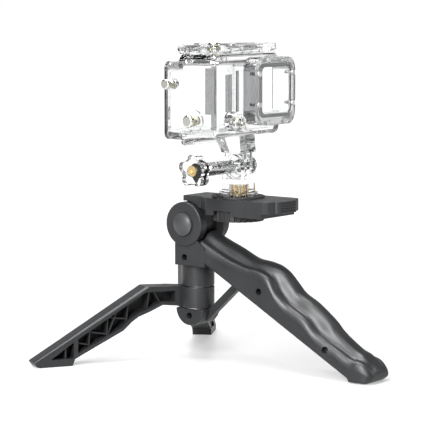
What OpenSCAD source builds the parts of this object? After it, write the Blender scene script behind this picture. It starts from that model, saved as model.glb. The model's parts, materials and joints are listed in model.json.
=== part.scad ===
// Clear waterproof housing for a small action camera, on a three-prong mount with a long
// thumbscrew, carried by a folding pistol-grip tripod with a tilting head.
// Millimetres, +Z up, lens towards -Y. The floor is z = 0.

/* [Grip body] */
// Half width of the grip and of the block under the ears
body_half_w = 14; // [12:0.5:16]
// Horizontal distance from the column to the tip of the grip's toe
grip_reach = 138.5; // [115:0.5:167]
// Height of the block, from its underside to the tilt axis
block_h = 26.2; // [22:0.1:32]
// Distance from the column axis to the block's back face
block_rear = 7.5; // [7:0.1:9]
// Radius of the round ears that carry the tilt axle
ear_r = 14; // [12:0.1:14.5]
// Thickness of each ear
ear_t = 6.4; // [5.6:0.1:7]
// How far the ears stand proud of the block's sides
ear_proud = 1; // [0.5:0.1:2]
// Wall of the moulded halves
shell_wall = 2.4; // [1.8:0.1:3]
// Height of the hub's flat top above the floor
hub_top = 32.5; // [28:0.1:39]
// Radius of the half-round hub under the column
hub_r = 10.8; // [9:0.1:11]
// Half width of the hub along its axis
hub_half_w = 9; // [7:0.1:10]
// Half thickness of the strut between hub and grip
strut_half_t = 2.2; // [1.6:0.1:2.3]
// Depth of the strut
strut_d = 4.6; // [3.6:0.1:5]

/* [Column and legs] */
// Radius of the two leg knuckles
knuckle_r = 10.5; // [9:0.1:10.8]
// Height of one leg knuckle
knuckle_h = 13.4; // [11.2:0.1:16.1]
// Radius of the leg axle
leg_axle_r = 4; // [3:0.1:4.8]
// Thickness of the friction washers
washer_t = 0.5; // [0.4:0.1:1]
// Angle between each open leg and the grip
leg_angle = 120; // [100:1:130]
// Distance from the middle plane to a folded leg's inner face
leg_inner = 2.6; // [2.5:0.1:3.4]
// Width of a leg
leg_w = 12.9; // [10:0.1:14]
// Gap between the grip's heel and the tip of a folded leg
leg_tuck = 12.7; // [10:0.1:20]
// Wall of the legs
leg_wall = 2; // [1.5:0.1:2.4]
// Thickness of the leg ribs
rib_t = 1.5; // [1:0.1:2.2]

/* [Tilt head] */
// Radius of the tilt axle
tilt_axle_r = 3; // [2.4:0.1:3.6]
// Radius of the barrel between the ears
barrel_r = 8; // [7:0.1:9]
// Radius of the tilt lock button
lock_r = 7.3; // [6:0.1:8]
// Travel of the tilt lock button
lock_travel = 2; // [1.5:0.1:2.4]
// Height from the tilt axis to the top of the platform
platform_rise = 18; // [17:0.1:20]
// Thickness of the platform
platform_t = 7.5; // [6:0.1:7.5]
// Half width of the platform
platform_half_w = 18; // [17:0.1:21]
// Half width of the platform's tongue and of its back end
tongue_half_w = 12; // [10:0.1:13]
// Distance from the tilt axis to the camera screw
screw_reach = 32; // [31:0.1:34]
// Radius of the clamp wheel
wheel_r = 16; // [14:0.1:16.4]
// Thickness of the clamp wheel
wheel_t = 6.6; // [5:0.1:7]
// Radius of the camera screw, a quarter inch thread
screw_r = 3.1; // [2.8:0.1:3.2]
// Radius of the rubber pad
pad_r = 16.5; // [14:0.1:17.5]
// Thickness of the rubber pad
pad_t = 1; // [0.8:0.1:2]

/* [Prong mount] */
// Radius of the adapter's round flange
flange_r = 12.2; // [11:0.1:14]
// Thickness of the flange
flange_t = 2.5; // [2:0.1:3]
// Thickness of one adapter prong
prong_t = 3; // [2.6:0.1:3.4]
// Gap between two adapter prongs
prong_gap = 3; // [2.6:0.1:3.4]
// Radius of the prongs' round ends
prong_r = 7.5; // [6.5:0.1:8]
// Height from the underside of the flange to the camera tilt axis
prong_rise = 18.5; // [18:0.1:21]
// Radius of the thumbscrew's bolt
bolt_r = 2.5; // [2:0.1:3]
// Reach of the thumbscrew, from the middle of the mount to the knob's outer face
knob_reach = 47.5; // [44:0.1:55]
// Length of the star knob
knob_t = 8; // [6:0.1:9]
// Radius of the star knob over its lobes
knob_r = 10.25; // [9:0.05:11]
// Radius of the thumbscrew's neck
neck_r = 4.3; // [3.6:0.1:4.8]

/* [Housing] */
// Width of the camera that the housing holds
camera_w = 59; // [55:0.1:71]
// Height of the camera that the housing holds
camera_h = 41; // [38:0.5:44]
// Depth of the camera that the housing holds
camera_d = 21; // [20:0.5:25]
// Room around the camera
camera_gap = 0.8; // [0.5:0.1:1.5]
// Side wall of the housing
side_wall = 3.7; // [3:0.1:4.5]
// Front wall of the housing
front_wall = 2.5; // [2:0.1:3]
// Height from the camera tilt axis to the housing's underside
housing_rise = 19; // [18:0.1:22]
// Width of the rim that carries the back door, front to back
rim_d = 9.5; // [9:0.1:11]
// Thickness of the back door
door_t = 2.8; // [2.4:0.1:4]
// Gap between the rim and the door
door_gap = 0.1; // [0.05:0.05:0.3]
// How far the lens port stands out of the front
port_d = 9; // [7:0.1:12]
// Thickness of the lens frame
frame_t = 3; // [2.5:0.1:4]
// Width of the lens port
port_w = 38.5; // [36:0.1:40]
// Height of the lens port
port_h = 42; // [40:0.1:42.5]
// Width of the lens window that shows
window_w = 32; // [28:0.1:33]
// Height of the lens window that shows
window_h = 29; // [26:0.1:32]

/* [Housing buttons] */
// Radius of the button stems
stem_r = 1.5; // [1.2:0.1:1.8]
// Travel of the housing buttons
button_travel = 1.6; // [1:0.1:2]
// Radius of the lower side button's cap
side_cap_r = 3.7; // [3:0.1:4]
// Radius of the upper side button's cap
rear_cap_r = 3.2; // [2.8:0.1:3.4]
// Reach of the side button caps out of the housing's side
side_reach = 8.3; // [7.5:0.1:10]

/* [Latch] */
// Height of the latch axis above the housing's top
latch_rise = 3.2; // [3:0.1:4]
// Radius of the latch's round hinge ends
latch_r = 3; // [2.4:0.1:3]
// Radius of the latch pins
latch_pin_r = 1.2; // [0.8:0.1:1.3]

/* [Fits] */
// Radial clearance of pins that turn or slide in their bores
running = 0.06; // [0.02:0.01:0.09]
// Gap beside pieces that move past each other
side_gap = 0.3; // [0.2:0.05:0.5]

/* [Hidden] */
$fn = 48;
eps = 0.02;
cut = 1;

// Column and grip body, measured from the column axis
upper_knuckle_z = hub_top + 2 * washer_t + knuckle_h;
lower_knuckle_z = hub_top + washer_t;
block_bottom = upper_knuckle_z + knuckle_h + washer_t;
tilt_z = block_bottom + block_h;
ear_out = body_half_w + ear_proud;
ear_in = ear_out - ear_t;
block_top_z = tilt_z - barrel_r - 1.4;
heel = grip_reach - 17.5;
stretch = grip_reach / 138.5;
hollow_end = heel - 6;
axle_top = block_bottom + 11;
axle_bottom = hub_top - 7.5;
screw_head_r = 1.75;
screw_shank_r = 1;
screw_sink = 3;
screw_head_t = 1.4;
screw_boss_r = 3;

// Underside of the grip: a straight line from behind the column down to the heel
under_start = [24, block_bottom - 3.3];
under_end = [heel, 2.9];
under_slope = (under_end[1] - under_start[1]) / (under_end[0] - under_start[0]);
function under_z(y) = under_start[1] + (y - under_start[0]) * under_slope;

// Grip sections: distance from the column, height of the ridge and of the shoulder
// above the underside line
GRIP = [
    [12, 18, 12.6], [22, 19.4, 13.2], [34, 21.5, 14.6], [46, 22.8, 17.8], [56, 27, 22],
    [64, 29.6, 22.8], [70.5, 29.8, 18], [76.5, 27.2, 15], [82, 24.7, 15.2], [91, 24.9, 15],
    [98.5, 24, 11.2], [105, 22.4, 9.4], [109.5, 19.2, 9.2], [118, 17.6, 9.8]
];
shell_screw_at = [
    [0, block_bottom + 5.1], [0, hub_top - 4.5],
    [-57.6 * stretch, under_z(57.6 * stretch) + 10.6],
    [-106.5 * stretch, under_z(106.5 * stretch) + 7.2]
];

// Legs, measured along the leg and up
leg_reach = heel - leg_tuck;
sole_len = 21;
leg_outer = leg_inner + leg_w;
leg_top_r = 35;
lower_top = lower_knuckle_z + knuckle_h;

// Middle of the object's whole length, so that the origin is the middle of its base
back_y = -leg_reach * cos(leg_angle) + leg_outer * sin(leg_angle);
origin_y = (grip_reach - back_y) / 2;

// Head
lock_recess = 5;
platform_top = tilt_z + platform_rise;
platform_bottom = platform_top - platform_t;
pad_top = platform_top + pad_t;
screw_y = -screw_reach;
wheel_top = platform_bottom - side_gap;
wheel_bottom = wheel_top - wheel_t;
barrel_half = ear_in - side_gap;

// Prong mount
prong_z = pad_top + prong_rise;
prong_step = prong_t + prong_gap;
prong_half = prong_t / 2 + prong_step;
block_top = prong_z - prong_r - 0.6;
nut_t = 4;
nut_r = 4.62;
nut_seat = prong_half - 0.5;
insert_r = 4.4;
insert_top = pad_top + 7;
knob_in = knob_reach - knob_t;

// Housing
cavity_w = camera_w + 2 * camera_gap;
housing_half_w = cavity_w / 2 + side_wall;
housing_bottom = prong_z + housing_rise;
cavity_bottom = housing_bottom + 2;
opening_top = cavity_bottom + camera_h + camera_gap;
cavity_top = opening_top + 3;
housing_top = cavity_top + 3.8;
rim_bottom = housing_bottom - 2;
rim_top = opening_top + 2.3;
housing_front = screw_y - 7;
cavity_front = housing_front + front_wall;
rim_front = cavity_front + camera_d + camera_gap + 2;
rim_rear = rim_front + rim_d;
door_front = rim_rear + door_gap;
door_rear = door_front + door_t;
port_right = housing_half_w;
port_left = port_right - port_w;
port_x = (port_left + port_right) / 2;
port_top = housing_top - 2;
port_z = port_top - port_h / 2;
port_front = housing_front - port_d;
frame_front = port_front - frame_t;
window_x = port_x + 0.3;
window_z = port_z + 0.5;
window_t = 1.4;
window_lap = 1.2;
frame_screw_at = [
    for (side = [-1, 1], dz = [-8, 11]) [port_x + side * (port_w / 2 - 1.5), port_z + dz],
    for (side = [-1, 1], dx = [-9, 9]) [port_x + dx, port_z + side * (port_h / 2 - 1.5)]
];
frame_screw_r = 1.8;
frame_shank_r = 1;
screw_bite = 4.5;
gasket_t = 1;

// Door hinge, below the rim
hinge_r = 2.2;
hinge_pin_r = 1;
hinge_y = rim_rear - 1.5;
hinge_z = rim_bottom - hinge_r - 0.1;
hinge_in = 12;
hinge_out = 20;
door_panel_t = 0.8;
door_seal_t = 1.2;

// Latch on top
latch_y = rim_front - 1;
latch_z = housing_top + latch_rise;
lever_front = housing_front + 2;
lever_left = -14;
lever_top = latch_z + latch_r;
lever_bottom = housing_top + 0.5;
hook_y = latch_y - 5.5;
hook_z = latch_z + 0.8;
hook_half_w = 5.5;
hook_low = latch_z + latch_pin_r + 0.5;
notch_half_w = hook_half_w + side_gap;
hook_pin_r = 0.9;
hook_pin_half = notch_half_w + 4;
notch_front = hook_y - 4.6;
lug_left = -28.6;

// Buttons: where each axis leaves the housing
boss_t = 1.6;
shutter_at = [-22, housing_front + 9];
mode_at = [-18.5, housing_bottom + 10];
lower_side_at = [housing_front + 14.5, housing_bottom + 10.5];
upper_side_at = [rim_rear - 3.9, housing_bottom + 32.5];
mode_boss_r = 6;
mode_boss_d = 6.2;
lower_boss_r = 6.6;
upper_boss_r = 3.6;
shutter_boss_r = 4.4;
shutter_cap_r = 4;
bar_back = shutter_at[1] - shutter_cap_r - 0.8;
cap_t = 3;
clip_t = 0.6;
seal_r = 0.7;
seal_bore_r = stem_r + running + 2 * seal_r;
spring_t = 0.6;
shutter_boss_t = 2;
mode_cap_r = 3.6;
flat_cap_t = 2;
shutter_gap = 2 * button_travel;
mode_gap = 1.5 * button_travel;
side_spring_len = side_reach - boss_t - cap_t;
shutter_stem = housing_top + shutter_boss_t - cavity_top + clip_t;
mode_stem = mode_boss_d + front_wall + clip_t;
side_stem = side_wall + boss_t + clip_t;

module whole() translate([0, origin_y, 0]) children();
module span(x, y, z) translate([x[0], y[0], z[0]]) cube([x[1] - x[0], y[1] - y[0], z[1] - z[0]]);
module rod_x(r, x, y, z) translate([x[0], y, z]) rotate([0, 90, 0]) cylinder(r = r, h = x[1] - x[0]);
module rod_y(r, x, y, z) translate([x, y[1], z]) rotate([90, 0, 0]) cylinder(r = r, h = y[1] - y[0]);
module rod_z(r, x, y, z) translate([x, y, z[0]]) cylinder(r = r, h = z[1] - z[0]);

// A side outline drawn in (Y, Z), pushed out along X
module along_x(x) translate([x[0], 0, 0]) rotate([90, 0, 90])
    linear_extrude(height = x[1] - x[0]) children();
// A front outline drawn in (X, Z), pushed out along Y
module along_y(y) translate([0, y[1], 0]) rotate([90, 0, 0])
    linear_extrude(height = y[1] - y[0]) children();

module round_rect(x, z, r) {
    translate([x[0] + r, z[0]]) square([x[1] - x[0] - 2 * r, z[1] - z[0]]);
    translate([x[0], z[0] + r]) square([x[1] - x[0], z[1] - z[0] - 2 * r]);
    for (cx = [x[0] + r, x[1] - r], cz = [z[0] + r, z[1] - r]) translate([cx, cz]) circle(r = r);
}

module bar(p, q, t) {
    d = q - p;
    translate(p) rotate(atan2(d[1], d[0])) translate([0, -t / 2]) square([norm(d), t]);
}

// One half of the grip, swept through its sections on the +X side
function grip_section(y, low, ridge, shoulder, w) = let (h = shoulder - low) [
    [0, -y, low], [w - 2, -y, low], [w, -y, low + min(2, 0.25 * h)],
    [w, -y, shoulder - min(3.4, 0.4 * h)], [w - 1, -y, shoulder - min(1.2, 0.15 * h)],
    [w - 3.4, -y, shoulder], [w - 5, -y, shoulder - 0.05 * h],
    [5, -y, (shoulder + ridge) / 2 - 0.05 * h], [3.2, -y, ridge - 0.05 * h], [0, -y, ridge]
];
function grip_low(y) = y > heel + 2 ? max(0, (y - heel - 13) * 1.05) : max(0, under_z(y));
function sections(inset) = concat(
    [for (s = GRIP) let (y = s[0] * stretch, u = under_z(y), w = body_half_w - 0.1 - s[0] / 120)
        grip_section(y, grip_low(y) + inset, u + s[1] - inset, u + s[2] - inset, w - inset)],
    inset > 0 ? [] : [
        grip_section(heel + 2.5, 0, 19.4, 12, body_half_w - 1.3),
        grip_section(heel + 9, 0, 15.4, 10, body_half_w - 1.6),
        grip_section(heel + 14, 1, 10.6, 8, body_half_w - 2.8),
        grip_section(heel + 17.5, 3.6, 6, 5.2, body_half_w - 6)
    ]
);
module sweep_sections(rings) {
    n = len(rings[0]);
    m = len(rings);
    polyhedron(
        points = [for (ring = rings) each ring],
        faces = concat(
            [[for (i = [0:n - 1]) i]],
            [for (j = [0:m - 2], i = [0:n - 1], k = [0, 1])
                let (a = j * n + i, b = j * n + (i + 1) % n)
                k == 0 ? [a, a + n, b] : [b, a + n, b + n]],
            [[for (i = [n - 1:-1:0]) (m - 1) * n + i]]
        )
    );
}

module strut() {
    along_x([0, strut_half_t])
        intersection() {
            bar([-8, hub_top - 5.5], [-36, under_z(36) + 2.25], strut_d);
            translate([-60, hub_top - 8]) square([60, 40]);
        }
}

// The right half: block, ear, grip, hub and half of the strut
module grip_half() {
    difference() {
        union() {
            difference() {
                sweep_sections(sections(0));
                intersection() {
                    translate([-cut, 0, 0]) sweep_sections(sections(shell_wall));
                    span([-2 * cut, 30], [-hollow_end, -25], [0, 200]);
                }
            }
            along_x([0, body_half_w]) polygon([
                [block_rear, block_bottom], [block_rear, block_top_z], [-9, block_top_z],
                [-16, block_top_z - 5], [-16, block_bottom]
            ]);
            rod_x(ear_r, [ear_in, ear_out], 0, tilt_z);
            span([ear_in, body_half_w], [-7, block_rear], [tilt_z - barrel_r - 2, tilt_z]);
            along_x([0, hub_half_w]) intersection() {
                translate([0, hub_top]) circle(r = hub_r);
                translate([-hub_r, hub_top - hub_r]) square([2 * hub_r, hub_r]);
            }
            strut();
            for (p = [shell_screw_at[2], shell_screw_at[3]])
                rod_x(screw_boss_r, [0, body_half_w - 2], p[0], p[1]);
        }
        rod_x(barrel_r + 1.2, [-cut, ear_in + eps], 0, tilt_z);
        rod_z(leg_axle_r, 0, 0, [axle_bottom, axle_top]);
        rod_x(tilt_axle_r, [ear_in - cut, ear_out - 1.5], 0, tilt_z);
        for (p = shell_screw_at) rod_x(screw_shank_r, [-cut, body_half_w - 3], p[0], p[1]);
    }
}

module grip_right_half() {
    color("#26282a") whole() grip_half();
}

module grip_left_half() {
    color("#26282a") whole() mirror([1, 0, 0]) difference() {
        grip_half();
        rod_x(lock_r + running, [ear_out - lock_recess, ear_out + cut], 0, tilt_z);
        for (p = shell_screw_at) {
            rod_x(screw_head_r, [screw_x(p), body_half_w + cut], p[0], p[1]);
            rod_x(screw_shank_r, [-cut, screw_x(p)], p[0], p[1]);
        }
    }
}
function screw_x(p) = (p[1] < hub_top ? hub_half_w : body_half_w) - screw_sink - screw_head_t;

module shell_screws() {
    color("#3c3f42") whole() for (p = shell_screw_at) {
        rod_x(screw_head_r, [-screw_x(p) - screw_head_t, -screw_x(p)], p[0], p[1]);
        rod_x(screw_shank_r, [-screw_x(p), 4], p[0], p[1]);
    }
}

module leg_axle() {
    color("silver") whole() difference() {
        rod_z(leg_axle_r, 0, 0, [axle_bottom, axle_top]);
        for (p = [shell_screw_at[0], shell_screw_at[1]]) {
            rod_x(screw_shank_r, [-10, 10], p[0], p[1]);
            rod_x(screw_head_r, [-10, -screw_x(p)], p[0], p[1]);
        }
    }
}

module friction_washers() {
    color("#b9bcbe") whole() for (z = [hub_top, lower_top, upper_knuckle_z + knuckle_h]) difference() {
        rod_z(8.6, 0, 0, [z, z + washer_t]);
        rod_z(leg_axle_r, 0, 0, [z - cut, z + washer_t + cut]);
    }
}

module tilt_axle() {
    color("silver") whole() rod_x(tilt_axle_r, [lock_recess - ear_out, ear_out - 1.5], 0, tilt_z);
}

module tilt_lock_button() {
    color("#303234") whole() translate([-ear_out, 0, tilt_z]) rotate([0, -90, 0]) difference() {
        union() {
            translate([0, 0, lock_travel + side_gap - lock_recess])
                cylinder(r = lock_r, h = lock_recess - lock_travel + 1);
            intersection() {
                translate([0, 0, 3.1 - 14]) sphere(r = 14, $fn = 64);
                cylinder(r = lock_r, h = 8);
            }
        }
        translate([0, 0, -lock_recess]) cylinder(r = 5, h = lock_recess);
    }
}

module tilt_lock_spring() {
    color("silver") whole() difference() {
        rod_x(4.6, [-ear_out, lock_recess - ear_out], 0, tilt_z);
        rod_x(3.6, [-ear_out - cut, lock_recess - ear_out + cut], 0, tilt_z);
    }
}

// Side view of a leg. root is the height of its knuckle's underside.
function leg_outline(root, top) = [
    [0, root], [11.6, root], [13, lower_knuckle_z + 0.8], [23, lower_knuckle_z + 1.8],
    [31, hub_top - 1.2], [39.5, hub_top - 4.4], [44, hub_top - 7.4], [49.5, hub_top - 12.4],
    [leg_reach - 29, 5.4], [leg_reach - 26.6, 4.2], [leg_reach - 25, 0],
    [leg_reach - 25 + sole_len, 0], [leg_reach - 1.2, 1.2], [leg_reach, 3.4],
    [leg_top_r, lower_top + 0.6], [top > lower_top ? 17 : 20, top], [0, top]
];
module leg_plan() polygon([
    [0, leg_inner], [leg_reach + 1, leg_inner], [leg_reach + 1, leg_outer],
    [17, leg_outer], [8, knuckle_r - 0.4], [0, knuckle_r - 0.4]
]);
module leg(root, top) {
    outline = leg_outline(root, top);
    truss = [[26, 0], [37, 0], [48, 0], [59, 0], [70, 0], [81, 0], [92, 0]];
    far = leg_reach - 4;
    difference() {
        union() {
            rod_z(knuckle_r, 0, 0, [root, top]);
            intersection() {
                translate([0, leg_outer, 0]) rotate([90, 0, 0]) union() {
                    linear_extrude(height = leg_wall) polygon(outline);
                    linear_extrude(height = leg_w) difference() {
                        polygon(outline);
                        intersection() {
                            offset(delta = -leg_wall) polygon(outline);
                            translate([14, 0]) square([far, 100]);
                        }
                    }
                    linear_extrude(height = leg_w - 0.8) intersection() {
                        polygon(outline);
                        union() {
                            for (i = [0:len(truss) - 2]) {
                                a = truss[i][0];
                                b = truss[i + 1][0];
                                bar([a, mid_z(a) - 12], [b, mid_z(b) + 12], rib_t);
                                bar([a, mid_z(a) + 12], [b, mid_z(b) - 12], rib_t);
                            }
                            translate([leg_reach - 27, 0]) square([rib_t, 30]);
                        }
                    }
                }
                translate([0, 0, -cut]) linear_extrude(height = top + 2 * cut) leg_plan();
            }
        }
        rod_z(leg_axle_r + running, 0, 0, [root - cut, top + cut]);
    }
}
function mid_z(r) = 8 + (leg_reach - r) * 0.42;

// A leg's moulding is kept as two nodes, so that each knuckle stays a plain disc:
// the knuckle up to this distance from the column, and the leg beyond it
leg_split = knuckle_r + 1.1;
module knuckle_zone() span([-2 * knuckle_r, leg_split], [-40, 40], [-cut, 100]);
module leg_zone() span([leg_split, 200], [-40, 40], [-cut, 100]);
module at_left() color("#26282a") whole() rotate([0, 0, -90 - leg_angle]) mirror([0, 1, 0]) children();
module at_right() color("#26282a") whole() rotate([0, 0, leg_angle - 90]) children();

module left_leg() {
    at_left() intersection() {
        leg(lower_knuckle_z, lower_top);
        leg_zone();
    }
}

module left_knuckle() {
    at_left() intersection() {
        leg(lower_knuckle_z, lower_top);
        knuckle_zone();
    }
}

module right_leg() {
    at_right() intersection() {
        leg(upper_knuckle_z, upper_knuckle_z + knuckle_h);
        leg_zone();
    }
}

module right_knuckle() {
    at_right() intersection() {
        leg(upper_knuckle_z, upper_knuckle_z + knuckle_h);
        knuckle_zone();
    }
}

// Platform outline in plan, one side, as distances from the tilt axis
function platform_side(s) = [
    [s * tongue_half_w, 2.4], [s * tongue_half_w, -12], [s * (platform_half_w - 2), screw_y + 15],
    [s * platform_half_w, screw_y + 12], [s * platform_half_w, screw_y - 32],
    [s * (platform_half_w - 2), screw_y - 34.5], [s * (tongue_half_w - 1.5), screw_y - 35.8],
    [s * (tongue_half_w - 2), screw_y - 37], [s * (tongue_half_w - 4), screw_y - 38.5]
];
module platform() {
    plan = concat(platform_side(-1), [for (i = [8:-1:0]) platform_side(1)[i]]);
    color("#26282a") whole() difference() {
        union() {
            translate([0, 0, platform_bottom]) linear_extrude(height = platform_t) polygon(plan);
            translate([0, 0, platform_bottom - 3]) linear_extrude(height = 4) intersection() {
                polygon(plan);
                union() {
                    translate([-30, screw_y - 30]) square([60, 22]);
                    translate([-30, screw_y + 6]) square([60, 6]);
                }
            }
            rod_x(barrel_r, [-barrel_half, barrel_half], 0, tilt_z);
            span([-barrel_half, barrel_half], [-barrel_r, 4], [tilt_z, platform_bottom + cut]);
        }
        for (side = [-1, 1])
            rod_x(ear_r + 2 * side_gap,
                side > 0 ? [ear_in - side_gap, 40] : [-40, side_gap - ear_in], 0, tilt_z);
        rod_z(wheel_r + 2 * side_gap, 0, screw_y, [platform_bottom - 10, platform_bottom]);
        rod_x(tilt_axle_r + running, [-barrel_half - cut, barrel_half + cut], 0, tilt_z);
        rod_z(screw_r + 0.4, 0, screw_y, [platform_bottom - cut, platform_top + cut]);
        rod_x(barrel_r - 1.4, [barrel_half - 4.5, barrel_half + cut], 0, tilt_z);
        for (i = [0:3]) let (z = platform_bottom + 1.2 + i * 1.6)
            span([-30, 30], [screw_y - 60, screw_y - 38], [z, z + 0.7]);
    }
}

// Toothed ring let into the end of the barrel
module detent_ring() {
    color("#4a4d50") whole() difference() {
        rod_x(barrel_r - 1.4, [barrel_half - 4.5, barrel_half], 0, tilt_z);
        rod_x(tilt_axle_r + running, [barrel_half - 6, barrel_half + cut], 0, tilt_z);
        for (i = [0:17]) translate([0, 0, tilt_z]) rotate([i * 20, 0, 0])
            span([barrel_half - 1, barrel_half + cut], [4, barrel_r], [-0.4, 0.4]);
    }
}

module rubber_pad() {
    color("#141516") whole() difference() {
        rod_z(pad_r, 0, screw_y, [platform_top, pad_top]);
        rod_z(screw_r + 0.4, 0, screw_y, [platform_top - cut, pad_top + cut]);
        for (r = [8, 12]) translate([0, screw_y, pad_top - 0.3]) difference() {
            cylinder(r = r + 0.5, h = cut);
            translate([0, 0, -cut]) cylinder(r = r - 0.5, h = 3 * cut);
        }
    }
}

module clamp_wheel() {
    color("#1e2022") whole() difference() {
        rod_z(wheel_r, 0, screw_y, [wheel_bottom, wheel_top]);
        for (i = [0:23]) translate([0, screw_y, 0]) rotate([0, 0, i * 15])
            rod_z(0.9, wheel_r + 0.2, 0, [wheel_bottom - cut, wheel_top + cut]);
        rod_z(screw_r, 0, screw_y, [wheel_bottom - cut, wheel_top + cut]);
        rod_z(5.6, 0, screw_y, [wheel_bottom - cut, wheel_bottom + 2.5]);
    }
}

module camera_screw() {
    color("#c9ccce") whole() {
        rod_z(screw_r, 0, screw_y, [wheel_bottom + 0.5, insert_top - 1]);
        rod_z(5.6, 0, screw_y, [wheel_bottom + 0.5, wheel_bottom + 2.5]);
    }
}

module prong(x, up) {
    rod_x(prong_r, x, screw_y, prong_z);
    z = up > 0 ? [prong_z, prong_z + prong_r + 1.6] : [block_top - cut, prong_z];
    span(x, [screw_y - prong_r, screw_y + prong_r], z);
}

module mount_adapter() {
    color("#e4ecf0", 0.5) whole() difference() {
        union() {
            rod_z(flange_r, 0, screw_y, [pad_top, pad_top + flange_t]);
            span([-prong_half, prong_half], [screw_y - prong_r, screw_y + prong_r], [pad_top, block_top]);
            for (i = [-1:1]) prong([i * prong_step - prong_t / 2, i * prong_step + prong_t / 2], -1);
            rod_x(6, [prong_half - cut, prong_half + 3.5], screw_y, prong_z);
        }
        rod_x(bolt_r + running, [-prong_half - cut, prong_half + 2 * cut], screw_y, prong_z);
        translate([nut_seat, screw_y, prong_z]) rotate([0, 90, 0])
            cylinder(r = nut_r, h = nut_t + cut, $fn = 6);
        rod_z(insert_r, 0, screw_y, [pad_top - cut, insert_top]);
    }
}

module threaded_insert() {
    color("#c8a24a") whole() difference() {
        rod_z(insert_r, 0, screw_y, [pad_top + 0.3, insert_top]);
        rod_z(screw_r + running, 0, screw_y, [pad_top - cut, insert_top + cut]);
    }
}

module pivot_nut() {
    color("#b8bbbd") whole() difference() {
        translate([nut_seat, screw_y, prong_z]) rotate([0, 90, 0]) cylinder(r = nut_r, h = nut_t, $fn = 6);
        rod_x(bolt_r + running, [nut_seat - cut, nut_seat + nut_t + cut], screw_y, prong_z);
    }
}

module thumbscrew_knob() {
    lobe_r = 3.4;
    color("#e8eef2", 0.5) whole() translate([0, screw_y, prong_z]) difference() {
        union() {
            translate([-knob_reach, 0, 0]) rotate([90, 0, 90]) linear_extrude(height = knob_t) {
                circle(r = knob_r - 2.6);
                for (i = [0:4]) rotate(90 + i * 72) translate([knob_r - lobe_r, 0]) circle(r = lobe_r);
            }
            rod_x(neck_r, [-knob_in - cut, -prong_half - side_gap], 0, 0);
        }
        rod_x(bolt_r, [cut - knob_reach, 0], 0, 0);
        rod_x(3.4, [-knob_reach - cut, 2 - knob_reach], 0, 0);
    }
}

module thumbscrew_bolt() {
    color("#c9ccce") whole() rod_x(bolt_r, [2 - knob_reach, nut_seat + nut_t], screw_y, prong_z);
}

module knob_insert() {
    color("#c8a24a") whole() difference() {
        rod_x(3.4, [0.6 - knob_reach, 2 - knob_reach], screw_y, prong_z);
        rod_x(1.4, [-knob_reach, 1.4 - knob_reach], screw_y, prong_z);
    }
}

module button_bores() {
    r = stem_r + running;
    translate([shutter_at[0], shutter_at[1], 0]) rod_z(r, 0, 0, [cavity_top - cut, housing_top + 4]);
    rod_y(r, mode_at[0], [housing_front - 12, cavity_front + cut], mode_at[1]);
    rod_x(r, [-housing_half_w - 6, cut - cavity_w / 2], lower_side_at[0], lower_side_at[1]);
    rod_x(r, [-housing_half_w - 6, cut - cavity_w / 2], upper_side_at[0], upper_side_at[1]);
}

module front_shell() {
    hw = housing_half_w;
    cx = cavity_w / 2;
    color("#eef4f7", 0.4) whole() difference() {
        union() {
            along_y([housing_front, rim_front]) round_rect([-hw, hw], [housing_bottom, housing_top], 5);
            along_y([rim_front - eps, rim_rear]) round_rect([-hw, hw], [rim_bottom, rim_top], 4);
            along_y([port_front, housing_front + eps])
                round_rect([port_left, port_right], [port_top - port_h, port_top], 7);
            along_x([-8, 8]) polygon([
                [screw_y - prong_r, prong_z + prong_r + 1], [screw_y + prong_r, prong_z + prong_r + 1],
                [screw_y + 13, housing_bottom + cut], [housing_front + 0.5, housing_bottom + cut]
            ]);
            for (side = [-1, 1]) let (mid = side * prong_step / 2, half = prong_gap / 2 - 0.15)
                prong([mid - half, mid + half], 1);
            rod_y(mode_boss_r, mode_at[0], [housing_front - mode_boss_d, housing_front + cut], mode_at[1]);
            rod_x(lower_boss_r, [-hw - boss_t, cut - hw], lower_side_at[0], lower_side_at[1]);
            rod_x(upper_boss_r, [-hw - boss_t, cut - hw], upper_side_at[0], upper_side_at[1]);
            rod_z(shutter_boss_r, shutter_at[0], shutter_at[1],
                [housing_top - cut, housing_top + shutter_boss_t]);
            for (x = [[lug_left, lever_left - 2.4], [hw - 7, hw - 0.8]]) {
                rod_x(latch_r - 0.6, x, latch_y, latch_z);
                span(x, [latch_y - latch_r + 0.6, latch_y + 1], [housing_top - cut, latch_z]);
            }
            for (s = [-1, 1]) let (x = s > 0 ? [hinge_in, hinge_out] : [-hinge_out, -hinge_in]) {
                rod_x(hinge_r, x, hinge_y, hinge_z);
                span(x, [hinge_y - hinge_r, hinge_y + 1.4], [hinge_z, rim_bottom + cut]);
            }
        }
        along_y([cavity_front, rim_front + eps]) round_rect([-cx, cx], [cavity_bottom, cavity_top], 3);
        along_y([rim_front - cut, rim_rear + cut]) round_rect([-cx, cx], [cavity_bottom, opening_top], 3);
        along_y([port_front - cut, cavity_front + cut]) round_rect(
            [window_x - window_w / 2, window_x + window_w / 2],
            [window_z - window_h / 2, window_z + window_h / 2], 3);
        along_y([port_front - cut, port_front + gasket_t]) lens_seat(window_lap + 1);
        rod_x(bolt_r + running, [-20, 20], screw_y, prong_z);
        rod_x(latch_pin_r, [-hw - cut, hw + cut], latch_y, latch_z);
        rod_x(hinge_pin_r, [-hinge_out - cut, hinge_out + cut], hinge_y, hinge_z);
        for (p = frame_screw_at)
            rod_y(frame_shank_r, p[0], [port_front - cut, port_front + screw_bite + 0.5], p[1]);
        button_bores();
        for (s = seal_places()) seal_at(s) cylinder(r = seal_bore_r, h = 2 * seal_r);
    }
}

// The lens window's outline, grown by a lap all round
module lens_seat(lap) {
    round_rect([window_x - window_w / 2 - lap, window_x + window_w / 2 + lap],
        [window_z - window_h / 2 - lap, window_z + window_h / 2 + lap], 3 + lap);
}

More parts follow.
